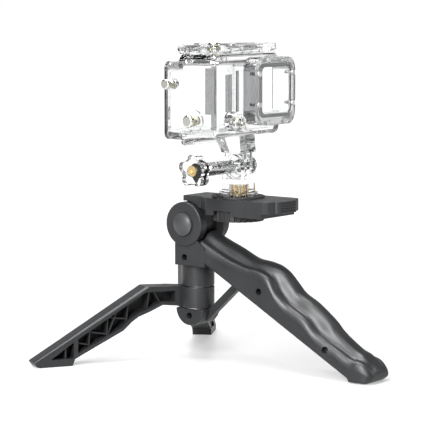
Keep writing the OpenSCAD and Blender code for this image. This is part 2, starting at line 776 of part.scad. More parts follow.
module lens_frame() {
    color("#d8dee2", 0.5) whole() difference() {
        along_y([frame_front, port_front])
            round_rect([port_left, port_right], [port_top - port_h, port_top], 8);
        along_y([frame_front - cut, port_front + cut]) lens_seat(0);
        along_y([port_front - window_t, port_front + cut]) lens_seat(window_lap);
        for (p = frame_screw_at) {
            rod_y(frame_screw_r + 0.1, p[0], [frame_front - cut, frame_front + 1.5], p[1]);
            rod_y(frame_shank_r, p[0], [frame_front, port_front + cut], p[1]);
        }
    }
}

// Clear holes for the frame screws
module frame_screw_holes(y) {
    for (p = frame_screw_at) rod_y(frame_shank_r + 0.2, p[0], y, p[1]);
}

module lens_window() {
    color("#dfe9ee", 0.3) whole() difference() {
        along_y([port_front - window_t, port_front]) lens_seat(window_lap);
        frame_screw_holes([frame_front, port_front + cut]);
    }
}

module lens_gasket() {
    color("#e9e9e6") whole() difference() {
        along_y([port_front, port_front + gasket_t]) difference() {
            lens_seat(window_lap + 1);
            lens_seat(0);
        }
        frame_screw_holes([frame_front, port_front + gasket_t + cut]);
    }
}

module lens_screws() {
    color("#b8bbbd") whole() for (p = frame_screw_at) {
        rod_y(frame_screw_r, p[0], [frame_front + 0.3, frame_front + 1.5], p[1]);
        rod_y(frame_shank_r, p[0], [frame_front + 1.5, port_front + screw_bite], p[1]);
    }
}

module latch_pin() {
    color("silver") whole()
        rod_x(latch_pin_r, [0.5 - housing_half_w, housing_half_w - 1], latch_y, latch_z);
}

module door_hinge_pin() {
    color("silver") whole() rod_x(hinge_pin_r, [0.3 - hinge_out, hinge_out - 0.3], hinge_y, hinge_z);
}

// Where each stem's seal sits, just outside the cavity wall
function seal_places() = [
    [[shutter_at[0], shutter_at[1], cavity_top + 1.2], [0, 0, 0]],
    [[mode_at[0], cavity_front - 1.9 + 2 * seal_r, mode_at[1]], [90, 0, 0]],
    [[1.2 - housing_half_w, lower_side_at[0], lower_side_at[1]], [0, 90, 0]],
    [[1.2 - housing_half_w, upper_side_at[0], upper_side_at[1]], [0, 90, 0]]
];
module seal_at(s) translate(s[0]) rotate(s[1]) children();
module button_seals() {
    color("#d9d2c8") whole() for (s = seal_places()) seal_at(s) translate([0, 0, seal_r])
        rotate_extrude() translate([stem_r + running + seal_r, 0]) circle(r = seal_r - 0.02, $fn = 24);
}

module back_door() {
    hw = housing_half_w;
    lug = hinge_in - side_gap;
    color("#eef4f7", 0.4) whole() difference() {
        union() {
            along_y([door_front, door_rear]) round_rect([-hw, hw], [rim_bottom, rim_top], 4);
            along_y([door_rear - eps, door_rear + door_panel_t])
                round_rect([6 - hw, hw - 6], [rim_bottom + 6, rim_top - 6], 3);
            rod_x(hinge_r, [-lug, lug], hinge_y, hinge_z);
            span([-lug, lug], [hinge_y, door_rear], [hinge_z - hinge_r + 1, hinge_z + 0.8]);
            span([-lug, lug], [door_front, door_rear], [hinge_z, rim_bottom + 1]);
        }
        along_y([door_front - cut, door_front + door_seal_t]) door_seal();
        rod_x(hinge_pin_r + running, [-hinge_in, hinge_in], hinge_y, hinge_z);
    }
}

// Outline of the door's gasket and of its groove
module door_seal() difference() {
    hw = housing_half_w;
    round_rect([1 - hw, hw - 1], [rim_bottom + 1.3, rim_top - 0.5], 3.5);
    round_rect([2.9 - hw, hw - 2.9], [rim_bottom + 3.2, rim_top - 2.1], 2);
}

module door_gasket() {
    color("#efefec") whole() along_y([door_front, door_front + door_seal_t]) door_seal();
}

module latch_lever() {
    hw = housing_half_w;
    inner = hw - 7 - side_gap;
    color("#e4eaee", 0.5) whole() difference() {
        union() {
            rod_x(latch_r, [-hw, lug_left - side_gap], latch_y, latch_z);
            span([-hw, lug_left - side_gap], [lever_front, latch_y], [latch_z - 1.6, latch_z + 1.6]);
            rod_x(latch_r - 0.4, [lever_left, inner], latch_y, latch_z);
            span([lever_left, inner], [notch_front, latch_y], [latch_z - 2, lever_top]);
            span([lever_left, hw - 1], [lever_front, notch_front + cut], [lever_bottom, lever_top]);
            span([-hw, lever_left + 1], [lever_front, bar_back], [latch_z - 1.6, latch_z + 1.6]);
        }
        span([-notch_half_w, notch_half_w],
            [notch_front, latch_y + 10], [lever_bottom - 3, lever_top + cut]);
        rod_x(latch_pin_r + running, [-hw + 0.2, hw], latch_y, latch_z);
        rod_x(hook_pin_r, [-hook_pin_half, hook_pin_half], hook_y, hook_z);
        span([lever_left + 5, hw - 5],
            [lever_front + 3, notch_front - 2], [lever_top - 1, lever_top + cut]);
    }
}

module latch_hook() {
    tip_y = door_rear - 0.6;
    color("#e4eaee", 0.5) whole() difference() {
        union() {
            rod_x(2.1, [-hook_half_w, hook_half_w], hook_y, hook_z);
            span([-hook_half_w, hook_half_w], [hook_y, tip_y], [hook_low, lever_top - 0.2]);
            span([-hook_half_w, hook_half_w], [tip_y - 3, tip_y], [rim_top + 0.3, lever_top - 1]);
        }
        rod_x(hook_pin_r + running, [-hook_half_w - cut, hook_half_w + cut], hook_y, hook_z);
    }
}

module hook_pin() {
    color("silver") whole() rod_x(hook_pin_r, [-hook_pin_half, hook_pin_half], hook_y, hook_z);
}

// Buttons are drawn along +Z, from the boss face outwards; stem runs back to the cavity
module plunger(stem, gap, cap_r, cap) {
    translate([0, 0, -stem]) cylinder(r = stem_r, h = stem + gap);
    translate([0, 0, gap]) cylinder(r = cap_r, h = cap - 0.6);
    translate([0, 0, gap + cap - 0.6]) cylinder(r1 = cap_r, r2 = cap_r - 0.6, h = 0.6);
}
module spring_sleeve(r, gap) difference() {
    cylinder(r = r, h = gap);
    translate([0, 0, -cut]) cylinder(r = r - spring_t, h = gap + 2 * cut);
}
module stem_clip(stem) translate([0, 0, -stem]) difference() {
    cylinder(r = stem_r + 1.2, h = clip_t);
    translate([0, 0, -cut]) cylinder(r = stem_r, h = clip_t + 2 * cut);
}

module at_shutter() whole()
    translate([shutter_at[0], shutter_at[1], housing_top + shutter_boss_t]) children();
module at_mode() whole() translate([mode_at[0], housing_front - mode_boss_d, mode_at[1]])
    rotate([90, 0, 0]) children();
module at_side(p) whole()
    translate([-housing_half_w - boss_t, p[0], p[1]]) rotate([0, -90, 0]) children();

module shutter_button() {
    color("#c4c9cc") at_shutter() plunger(shutter_stem, shutter_gap, shutter_cap_r, flat_cap_t);
}
module shutter_spring() {
    color("silver") at_shutter() spring_sleeve(shutter_cap_r - 1, shutter_gap);
}
module shutter_clip() {
    color("#9a9d9f") at_shutter() stem_clip(shutter_stem);
}

module mode_button() {
    color("#dfe5e8") at_mode() plunger(mode_stem, mode_gap, mode_cap_r, flat_cap_t);
}
module mode_spring() {
    color("silver") at_mode() spring_sleeve(mode_cap_r - 0.7, mode_gap);
}
module mode_clip() {
    color("#9a9d9f") at_mode() stem_clip(mode_stem);
}

module lower_side_button() {
    color("#c4c9cc") at_side(lower_side_at) plunger(side_stem, side_spring_len, side_cap_r, cap_t);
}
module lower_side_spring() {
    color("#8a8664") at_side(lower_side_at) spring_sleeve(side_cap_r - 0.4, side_spring_len);
}
module lower_side_clip() {
    color("#9a9d9f") at_side(lower_side_at) stem_clip(side_stem);
}

module upper_side_button() {
    color("#c4c9cc") at_side(upper_side_at) plunger(side_stem, side_spring_len, rear_cap_r, cap_t);
}
module upper_side_spring() {
    color("#8a8664") at_side(upper_side_at) spring_sleeve(rear_cap_r - 0.4, side_spring_len);
}
module upper_side_clip() {
    color("#9a9d9f") at_side(upper_side_at) stem_clip(side_stem);
}

grip_left_half();
grip_right_half();
shell_screws();
leg_axle();
friction_washers();
tilt_axle();
tilt_lock_button();
tilt_lock_spring();
left_leg();
left_knuckle();
right_leg();
right_knuckle();
platform();
detent_ring();
rubber_pad();
clamp_wheel();
camera_screw();
mount_adapter();
threaded_insert();
pivot_nut();
thumbscrew_knob();
thumbscrew_bolt();
knob_insert();
front_shell();
lens_frame();
lens_window();
lens_gasket();
lens_screws();
latch_pin();
door_hinge_pin();
button_seals();
back_door();
door_gasket();
latch_lever();
latch_hook();
hook_pin();
shutter_button();
shutter_spring();
shutter_clip();
mode_button();
mode_spring();
mode_clip();
lower_side_button();
lower_side_spring();
lower_side_clip();
upper_side_button();
upper_side_spring();
upper_side_clip();
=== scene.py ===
# An empty clear waterproof camera housing on a folding pistol-grip tripod.
# Sizes are in millimetres and become metres in the helpers that make meshes.
import json
import math

import bpy
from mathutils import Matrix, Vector


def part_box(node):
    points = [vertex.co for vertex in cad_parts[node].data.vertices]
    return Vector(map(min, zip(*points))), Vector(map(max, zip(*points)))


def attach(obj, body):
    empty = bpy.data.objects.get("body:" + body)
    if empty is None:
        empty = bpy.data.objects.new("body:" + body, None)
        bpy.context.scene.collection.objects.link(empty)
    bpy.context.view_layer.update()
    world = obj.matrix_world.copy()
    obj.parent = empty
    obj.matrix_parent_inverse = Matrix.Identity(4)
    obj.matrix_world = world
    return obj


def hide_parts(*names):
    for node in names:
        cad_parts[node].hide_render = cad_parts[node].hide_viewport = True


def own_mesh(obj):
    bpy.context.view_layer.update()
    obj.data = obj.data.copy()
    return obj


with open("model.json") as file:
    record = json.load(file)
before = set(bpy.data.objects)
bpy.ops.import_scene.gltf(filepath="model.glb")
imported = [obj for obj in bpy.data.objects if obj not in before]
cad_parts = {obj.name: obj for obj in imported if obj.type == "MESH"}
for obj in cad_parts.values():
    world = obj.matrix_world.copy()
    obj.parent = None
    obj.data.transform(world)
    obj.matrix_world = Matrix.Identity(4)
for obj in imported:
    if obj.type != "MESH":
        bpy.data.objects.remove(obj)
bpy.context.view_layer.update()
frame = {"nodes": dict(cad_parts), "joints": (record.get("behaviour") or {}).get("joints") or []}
bpy.ops.object.select_all(action="DESELECT")

# ---------------------------------------------------------------- studio
# A pale sweep of floor under three plain soft lamps, seen through a long lens from table height.
# None of it belongs to the tripod.
MM = 0.001
joint_at = {j["name"]: [v / MM for v in j.get("pos_m", (0, 0, 0))] for j in frame["joints"]}
col_y = joint_at["left_leg_swing"][1]

view_turn = math.radians(-52)
view_rise = math.radians(6.2)
view_away = 1300
back = Vector((math.sin(view_turn) * math.cos(view_rise),
               -math.cos(view_turn) * math.cos(view_rise), math.sin(view_rise)))
right = Vector((math.cos(view_turn), math.sin(view_turn), 0))
up = back.cross(right)
eye = Vector((0, col_y, 100)) + view_away * back
middle = eye - view_away * back + 10.76 * right - 8.54 * up
camera = bpy.data.objects.new("camera", bpy.data.cameras.new("camera"))
camera.data.sensor_width = 36
camera.data.lens = 172
camera.data.clip_start = 0.05
camera.data.clip_end = 30
camera.location = eye * MM
camera.rotation_euler = (middle - eye).to_track_quat("-Z", "Y").to_euler()
bpy.context.collection.objects.link(camera)
bpy.context.scene.camera = camera

world = bpy.data.worlds.new("studio")
bpy.context.scene.world = world
world.use_nodes = True
air = world.node_tree
air.nodes["Background"].inputs["Strength"].default_value = 1.0
ramp = air.nodes.new("ShaderNodeValToRGB")
ramp.color_ramp.elements[0].position = 0.0
ramp.color_ramp.elements[0].color = (0.93, 0.93, 0.935, 1)
ramp.color_ramp.elements[1].position = 1.0
ramp.color_ramp.elements[1].color = (0.1, 0.1, 0.105, 1)
for place, shade in ((0.53, 0.93), (0.6, 0.55), (0.75, 0.16)):
    stop = ramp.color_ramp.elements.new(place)
    stop.color = (shade, shade, shade * 1.01, 1)
sky_at = air.nodes.new("ShaderNodeTexCoord")
sky_split = air.nodes.new("ShaderNodeSeparateXYZ")
sky_half = air.nodes.new("ShaderNodeMath")
sky_half.operation = "MULTIPLY_ADD"
sky_half.inputs[1].default_value = 0.5
sky_half.inputs[2].default_value = 0.5
air.links.new(sky_at.outputs["Generated"], sky_split.inputs[0])
air.links.new(sky_split.outputs["Z"], sky_half.inputs[0])
air.links.new(sky_half.outputs[0], ramp.inputs["Fac"])
# Dark flags stand left and right of the set, where only gloss and clear edges find them
aside = air.nodes.new("ShaderNodeVectorMath")
aside.operation = "DOT_PRODUCT"
aside.inputs[1].default_value = right
away = air.nodes.new("ShaderNodeMath")
away.operation = "ABSOLUTE"
flags = air.nodes.new("ShaderNodeMapRange")
flags.inputs["From Min"].default_value = 0.55
flags.inputs["From Max"].default_value = 0.8
flags.inputs["To Min"].default_value = 1.0
flags.inputs["To Max"].default_value = 0.16
flagged = air.nodes.new("ShaderNodeMix")
flagged.data_type = "RGBA"
flagged.blend_type = "MULTIPLY"
flagged.inputs["Factor"].default_value = 1.0
seen = air.nodes.new("ShaderNodeLightPath")
backdrop = air.nodes.new("ShaderNodeMix")
backdrop.data_type = "RGBA"
backdrop.inputs["B"].default_value = (1, 1, 1, 1)
air.links.new(sky_at.outputs["Generated"], aside.inputs[0])
air.links.new(aside.outputs["Value"], away.inputs[0])
air.links.new(away.outputs[0], flags.inputs["Value"])
air.links.new(ramp.outputs["Color"], flagged.inputs["A"])
air.links.new(flags.outputs["Result"], flagged.inputs["B"])
air.links.new(flagged.outputs["Result"], backdrop.inputs["A"])
air.links.new(seen.outputs["Is Camera Ray"], backdrop.inputs["Factor"])
air.links.new(backdrop.outputs["Result"], air.nodes["Background"].inputs["Color"])


def lamp(name, place, size, power, aim=(0, 0, 90)):
    light = bpy.data.lights.new(name, "AREA")
    light.shape = "RECTANGLE"
    light.size, light.size_y = size[0] * MM, size[1] * MM
    light.energy = power
    obj = bpy.data.objects.new(name, light)
    obj.location = Vector(place) * MM
    obj.rotation_euler = (Vector(aim) - Vector(place)).to_track_quat("-Z", "Y").to_euler()
    bpy.context.collection.objects.link(obj)


lamp("top_softbox", (-150, 100, 900), (600, 600), 18)
lamp("left_softbox", (-800, -200, 520), (180, 560), 22)
lamp("right_softbox", (500, -700, 420), (160, 500), 3)

floor_paint = bpy.data.materials.new("floor_paint")
floor_paint.use_nodes = True
floor_skin = floor_paint.node_tree.nodes["Principled BSDF"]
floor_skin.inputs["Base Color"].default_value = (0.3, 0.3, 0.302, 1)
floor_skin.inputs["Roughness"].default_value = 0.3
floor_skin.inputs["Emission Strength"].default_value = 0.9
# The sweep glows evenly far off, and its glow is dimmed towards the tripod: painted shade gathered under it
floor_tree = floor_paint.node_tree
floor_at = floor_tree.nodes.new("ShaderNodeTexCoord")
floor_far = floor_tree.nodes.new("ShaderNodeVectorMath")
floor_far.operation = "LENGTH"
floor_glow_and_painted_shade = floor_tree.nodes.new("ShaderNodeMapRange")
floor_glow_and_painted_shade.interpolation_type = "SMOOTHSTEP"
for socket, value in (("From Min", 0.05), ("From Max", 1.3), ("To Min", 0.45), ("To Max", 1.0)):
    floor_glow_and_painted_shade.inputs[socket].default_value = value
floor_tree.links.new(floor_at.outputs["Object"], floor_far.inputs[0])
floor_tree.links.new(floor_far.outputs["Value"], floor_glow_and_painted_shade.inputs["Value"])
floor_tree.links.new(floor_glow_and_painted_shade.outputs["Result"], floor_skin.inputs["Emission Color"])
bpy.ops.mesh.primitive_plane_add(size=12, location=(0, 0, 0))
floor = bpy.context.object
floor.name = "floor"
floor.data.materials.append(floor_paint)
bpy.context.scene.view_settings.view_transform = "Standard"
bpy.context.scene.cycles.use_denoising = True
bpy.context.scene.cycles.max_bounces = 24
bpy.context.scene.cycles.transmission_bounces = 20
bpy.context.scene.cycles.glossy_bounces = 8
bpy.context.scene.cycles.transparent_max_bounces = 12

# ---------------------------------------------------------------- grip halves
# Left and right mouldings meet on the middle plane: ears for the tilting head, a block over the
# column, the finger grip, and a strut back to the hub under the legs. They are grained nylon,
# closed by four dark screws round two steel axles, with a small V where the halves meet.
tilt_z = joint_at["head_tilt"][2]
hub_top, block_foot, heel = 32.5, 60.8, 121.0


def grain_group():
    """Fine moulded grain: a height, and slow patches that shift colour and gloss."""
    group = bpy.data.node_groups.new("grain", "ShaderNodeTree")
    for name, kind in (("Fine", "NodeSocketFloat"), ("Patch", "NodeSocketFloat")):
        group.interface.new_socket(name, in_out="INPUT", socket_type=kind)
    for name in ("Height", "Patches"):
        group.interface.new_socket(name, in_out="OUTPUT", socket_type="NodeSocketFloat")
    ends = group.nodes.new("NodeGroupInput"), group.nodes.new("NodeGroupOutput")
    at = group.nodes.new("ShaderNodeTexCoord")
    for source, target in (("Fine", "Height"), ("Patch", "Patches")):
        tex = group.nodes.new("ShaderNodeTexNoise")
        tex.inputs["Detail"].default_value = 3
        group.links.new(ends[0].outputs[source], tex.inputs["Scale"])
        group.links.new(at.outputs["Object"], tex.inputs["Vector"])
        group.links.new(tex.outputs["Fac"], ends[1].inputs[target])
    return group


GRAIN = grain_group()


def finish_of(name, dark, light, rough, patch=60, bump=0.12, **sockets):
    """A material whose colour and gloss wander between two values under a fine grain."""
    paint = bpy.data.materials.new(name)
    paint.use_nodes = True
    tree = paint.node_tree
    skin = tree.nodes["Principled BSDF"]
    grain = tree.nodes.new("ShaderNodeGroup")
    grain.node_tree = GRAIN
    grain.inputs["Fine"].default_value = 2600
    grain.inputs["Patch"].default_value = patch
    shade = tree.nodes.new("ShaderNodeMix")
    shade.data_type = "RGBA"
    shade.inputs["A"].default_value = (*dark, 1)
    shade.inputs["B"].default_value = (*light, 1)
    gloss = tree.nodes.new("ShaderNodeMapRange")
    gloss.inputs["From Min"].default_value = 0.3
    gloss.inputs["From Max"].default_value = 0.7
    gloss.inputs["To Min"].default_value = rough[0]
    gloss.inputs["To Max"].default_value = rough[1]
    relief = tree.nodes.new("ShaderNodeBump")
    relief.inputs["Strength"].default_value = bump
    relief.inputs["Distance"].default_value = 0.04 * MM
    tree.links.new(grain.outputs["Patches"], shade.inputs["Factor"])
    tree.links.new(grain.outputs["Patches"], gloss.inputs["Value"])
    tree.links.new(grain.outputs["Height"], relief.inputs["Height"])
    tree.links.new(shade.outputs["Result"], skin.inputs["Base Color"])
    tree.links.new(gloss.outputs["Result"], skin.inputs["Roughness"])
    tree.links.new(relief.outputs["Normal"], skin.inputs["Normal"])
    for socket, value in sockets.items():
        skin.inputs[socket.replace("_", " ")].default_value = value
    return paint


BLACK = finish_of("moulded_black", (0.009, 0.0095, 0.010), (0.017, 0.0175, 0.0185),
                  (0.34, 0.46), bump=0.6, Specular_IOR_Level=0.3)
STEEL = finish_of("zinc_steel", (0.5, 0.5, 0.49), (0.64, 0.64, 0.63),
                  (0.2, 0.36), patch=300, Metallic=1)
DARK_STEEL = finish_of("blackened_steel", (0.01, 0.01, 0.011), (0.02, 0.02, 0.021),
                       (0.35, 0.5), Metallic=1)


def paint_nodes(paint, *nodes):
    """Gives CAD nodes that are shown as they are their finish."""
    for node in nodes:
        slots = frame["nodes"][node].data.materials
        slots.clear()
        slots.append(paint)


def at_column(x, y, z):
    return Vector((x, y + col_y, z))


def solid_from(name, axis, outline, low, high):
    """An outline across one axis, drawn in the two other directions, pushed from low to high."""
    bpy.ops.mesh.primitive_circle_add(vertices=len(outline), fill_type="NGON")
    piece = bpy.context.object
    piece.name = name
    first, second = [i for i in range(3) if i != axis]
    push = [0.0, 0.0, 0.0]
    push[axis] = (high - low) * MM
    for vertex, flat in zip(piece.data.vertices, outline):
        spot = [low * MM] * 3
        spot[first], spot[second] = flat[0] * MM, flat[1] * MM
        vertex.co = spot
    bpy.ops.object.mode_set(mode="EDIT")
    bpy.ops.mesh.select_all(action="SELECT")
    bpy.ops.mesh.extrude_region_move(TRANSFORM_OT_translate={"value": push})
    bpy.ops.mesh.select_all(action="SELECT")
    bpy.ops.mesh.normals_make_consistent(inside=False)
    bpy.ops.object.mode_set(mode="OBJECT")
    return piece


def rod(name, axis, middle, low, high, radius, sides=64):
    """A turned rod along an axis; middle gives its place in the two other directions."""
    place = list(middle)
    place.insert(axis, (low + high) / 2)
    turn = [(0, math.pi / 2, 0), (math.pi / 2, 0, 0), (0, 0, 0)][axis]
    bpy.ops.mesh.primitive_cylinder_add(vertices=sides, radius=radius * MM, depth=(high - low) * MM,
                                        location=Vector(place) * MM, rotation=turn)
    piece = bpy.context.object
    piece.name = name
    bpy.ops.object.transform_apply(location=True, rotation=True, scale=True)
    return piece


def block(name, low, high):
    """A squared block between two corners."""
    low, high = Vector(low), Vector(high)
    bpy.ops.mesh.primitive_cube_add(size=1, location=(low + high) / 2 * MM, scale=(high - low) * MM)
    piece = bpy.context.object
    piece.name = name
    bpy.ops.object.transform_apply(location=True, rotation=True, scale=True)
    return piece


def apply_to(piece, kind, **settings):
    modifier = piece.modifiers.new(kind.lower(), kind)
    for key, value in settings.items():
        setattr(modifier, key, value)
    bpy.ops.object.select_all(action="DESELECT")
    bpy.context.view_layer.objects.active = piece
    piece.select_set(True)
    bpy.ops.object.modifier_apply(modifier=modifier.name)


def combine(piece, others, operation):
    for other in others:
        apply_to(piece, "BOOLEAN", object=other, operation=operation, solver="EXACT")
        bpy.data.objects.remove(other)
    return piece


def weld(piece, *others):
    return combine(piece, others, "UNION")


def carve(piece, *others):
    return combine(piece, others, "DIFFERENCE")


def round_off(piece, width, steps=3, angle=35):
    apply_to(piece, "BEVEL", width=width * MM, segments=steps, limit_method="ANGLE",
             angle_limit=math.radians(angle), harden_normals=False)
    return piece


def bevel_where(piece, test, width, steps=6):
    """Rounds the edges whose two ends pass a test on their place in millimetres."""
    bpy.ops.object.select_all(action="DESELECT")
    bpy.context.view_layer.objects.active = piece
    piece.select_set(True)
    bpy.ops.object.mode_set(mode="EDIT")
    bpy.ops.mesh.select_mode(type="EDGE")
    bpy.ops.mesh.select_all(action="DESELECT")
    bpy.ops.object.mode_set(mode="OBJECT")
    spots = [v.co / MM for v in piece.data.vertices]
    for edge in piece.data.edges:
        edge.select = all(test(*spots[i]) for i in edge.vertices)
    bpy.ops.object.mode_set(mode="EDIT")
    bpy.ops.mesh.bevel(offset=width * MM, segments=steps, affect="EDGES")
    bpy.ops.mesh.select_mode(type="VERT")
    bpy.ops.object.mode_set(mode="OBJECT")
    return piece


def settle(piece, paint, body, slot, *nodes, smooth=32):
    """Give a finished piece its paint and body, and let it stand for its CAD nodes. The slot is not used.
    """
    bpy.ops.object.select_all(action="DESELECT")
    bpy.context.view_layer.objects.active = piece
    piece.select_set(True)
    bpy.ops.object.transform_apply(location=True, rotation=True, scale=True)
    bpy.ops.object.shade_smooth_by_angle(angle=math.radians(smooth))
    apply_to(piece, "WEIGHTED_NORMAL", mode="FACE_AREA", weight=100, keep_sharp=True)
    piece.select_set(False)
    piece.data.materials.clear()
    piece.data.materials.append(paint)
    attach(piece, body)
    if nodes:
        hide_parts(*nodes)
    return piece


def smooth_run(points, steps):
    """Points on a smooth run through the given ones, evenly split between each pair."""
    run = []
    for i in range(len(points) - 1):
        before, a, b, after = (Vector(points[min(max(k, 0), len(points) - 1)])
                               for k in range(i - 1, i + 3))
        for step in range(steps):
            t = step / steps
            run.append(0.5 * (2 * a + (b - before) * t + (2 * before - 5 * a + 4 * b - after) * t * t
                              + (3 * a - before - 3 * b + after) * t ** 3))
    return run + [Vector(points[-1])]


def skin(name, rings):
    """A closed skin through rings of points: a grid wrapped round, merged and capped."""
    bpy.ops.mesh.primitive_grid_add(x_subdivisions=len(rings[0]), y_subdivisions=len(rings) - 1)
    piece = bpy.context.object
    piece.name = name
    wrapped = [spot for ring in rings for spot in (*ring, ring[0])]
    for vertex, spot in zip(piece.data.vertices, wrapped):
        vertex.co = Vector(spot) * MM
    bpy.ops.object.mode_set(mode="EDIT")
    bpy.ops.mesh.select_all(action="SELECT")
    bpy.ops.mesh.remove_doubles(threshold=1e-7)
    bpy.ops.mesh.fill_holes(sides=0)
    bpy.ops.mesh.select_all(action="SELECT")
    bpy.ops.mesh.normals_make_consistent(inside=False)
    bpy.ops.object.mode_set(mode="OBJECT")
    return piece


def under_z(away):
    return 57.5 + (away - 24) * (2.9 - 57.5) / (heel - 24)


finger_shape = [
    (12, 18, 12.6), (22, 19.4, 13), (34, 21.5, 14.4), (46, 22.8, 17.6), (56, 27, 21.8),
    (64, 29.6, 22.6), (70.5, 29.8, 17.6), (76.5, 27.2, 15.2), (82, 24.7, 15.0), (91, 24.9, 15),
    (98.5, 24, 12.2), (105, 22.4, 11.6), (109.5, 20, 11.6), (115, 18.6, 12)]
stations = [(d, under_z(d) + ridge, under_z(d) + shoulder, 14 - max(0, d - 12) / 110)
            for d, ridge, shoulder in finger_shape]
stations += [(heel + 2.5, 19.2, 13.8, 12.9), (heel + 7.5, 16.9, 13.2, 12.8),
             (heel + 12, 13.8, 11.6, 12.2), (heel + 15.2, 10.6, 9.2, 11.0), (heel + 16.8, 8.0, 7.2, 9.4),
             (heel + 17.4, 5.8, 5.4, 7.4)]
rings = []
for away, ridge, shoulder, half in smooth_run(stations, 5):
    low = max(0, under_z(away)) if away < heel + 2 else max(0, (away - heel - 12)) ** 1.6 * 0.22
    tall = shoulder - low
    low_r, top_r = min(2.4, 0.3 * tall), min(5.2, 0.5 * tall)
    rise = ridge - shoulder
    profile = [(0, low), (half - low_r - 1.2, low), (half - low_r * 0.3, low + low_r * 0.3),
               (half, low + low_r), (half, shoulder - top_r), (half - 0.9, shoulder - top_r * 0.4),
               (half - 2.6, shoulder + 0.02 * rise), (half * 0.64, shoulder + rise * 0.12),
               (half * 0.53, shoulder + rise * 0.34), (half * 0.43, shoulder + rise * 0.64),
               (half * 0.31, shoulder + rise * 0.88), (half * 0.15, ridge - 0.02 * rise), (0, ridge)]
    side = [Vector(p) for p in profile[:4]] + smooth_run(profile[4:], 3)
    rings.append([at_column(x, -away, z) for x, z in side]
                 + [at_column(-x, -away, z) for x, z in reversed(side[1:-1])])
grip = skin("grip", rings)

ear_in, ear_out = 8.6, 15.0
weld(grip,
     solid_from("grip_block", 0, [(col_y + y, z) for y, z in (
         (7.5, block_foot), (7.5, tilt_z - 9.4), (-9, tilt_z - 9.4), (-16, tilt_z - 14.4),
         (-16, block_foot))], -14, 14),
     round_off(rod("right_ear", 0, at_column(0, 0, tilt_z)[1:], ear_in, ear_out, 14), 0.9),
     round_off(rod("left_ear", 0, at_column(0, 0, tilt_z)[1:], -ear_out, -ear_in, 14), 0.9),
     block("right_cheek", at_column(ear_in, -7, tilt_z - 10), at_column(14, 7.5, tilt_z - 4)),
     block("left_cheek", at_column(-14, -7, tilt_z - 10), at_column(-ear_in, 7.5, tilt_z - 4)))
hub = [(col_y + 10.8 * math.cos(a), hub_top + 10.8 * math.sin(a))
       for a in [math.pi + i * math.pi / 24 for i in range(25)]]
strut_run, strut_half = Vector((-28, 26)).normalized(), 2.3
strut_side = Vector((-strut_run.y, strut_run.x)) * strut_half
strut_from, strut_to = Vector((col_y - 7, hub_top - 6.4)), Vector((col_y - 36, hub_top + 20.5))
weld(grip,
     round_off(solid_from("hub", 0, hub, -9, 9), 0.7),
     solid_from("strut", 0, [strut_from + strut_side, strut_from - strut_side,
                             strut_to - strut_side, strut_to + strut_side], -2.2, 2.2))
carve(grip,
      rod("barrel_room", 0, at_column(0, 0, tilt_z)[1:], -ear_in - 0.01, ear_in + 0.01, 9.2),
      rod("lock_well", 0, at_column(0, 0, tilt_z)[1:], -16, -10, 7.45))
shell_screw_at = [(0, block_foot + 5.1), (0, hub_top - 4.5),
                  (-57.6, under_z(57.6) + 10.6), (-106.5, under_z(106.5) + 7.2)]
for y, z in shell_screw_at:
    well_end = -4.6 if y == 0 and z < hub_top else -9.6
    carve(grip, rod("screw_well", 0, (y + col_y, z), -16, well_end, 2.1, 32))
for name, side, node in (("right_grip", 1, "grip_right_half"), ("left_grip", -1, "grip_left_half")):
    half = grip.copy()
    half.data = grip.data.copy()
    half.name = name
    bpy.context.collection.objects.link(half)
    low, high = sorted((0, -30 * side))
    carve(half, block("other_side", (low, -200, -10), (high, 200, 200)))
    round_off(half, 0.3, steps=2, angle=40)
    settle(half, BLACK, "grip_body", "black_plastic", node)
bpy.data.objects.remove(grip)
paint_nodes(DARK_STEEL, "shell_screws")
paint_nodes(STEEL, "leg_axle", "friction_washers", "tilt_axle")


# ---------------------------------------------------------------- folding legs
# Each leg is one moulding: a knuckle on the column's steel axle, a rolled top edge, and an open
# inner side stiffened by ribs. The right leg's knuckle sits above the left one's.
leg_in, leg_out = 2.6, 15.5
knuckle_r, low_knuckle, high_knuckle = 10.5, (33.0, 46.4), (46.9, 60.3)


def bar(start, end, thick, low, high):
    """A straight rib between two points of a leg's side view."""
    start, end = Vector(start), Vector(end)
    run = (end - start).normalized()
    side = Vector((-run.y, run.x)) * thick / 2
    return solid_from("rib", 1, [start + side, start - side, end - side, end + side], low, high)


def top_line(r, down=0.0):
    """Height of the leg's straight top edge at a reach, or of a line a little below it."""
    return 47 - 0.5948 * (r - 35) - 1.163 * down


def on_top_edge(r, z):
    return 19 < r < 107.7 and z > top_line(r) - 1.5


leg_pocket = [(14.5, 36.2), (23, 36.8), (31.6, 33.3), (40.5, 30.0), (45.2, 26.9), (50.4, 22.0), (79.6, 7.6),
              (79.6, top_line(79.6, 3.4)), (34.4, top_line(34.4, 3.4)), (14.5, 43.4)]
foot_pocket = [(82.4, 4.6), (97.6, 4.6), (82.4, top_line(82.4, 3.4))]
rib_runs = [((24, 36), (30, 46)), ((33, 32), (31, 46)),
            ((47, 25), (45, 40)), ((46, 27), (62, 29)), ((52, 35), (60, 16)), ((60, 17), (59, 31)),
            ((59, 18), (75, 21)), ((72, 10), (71, 24)), ((71, 12), (84, 15))]


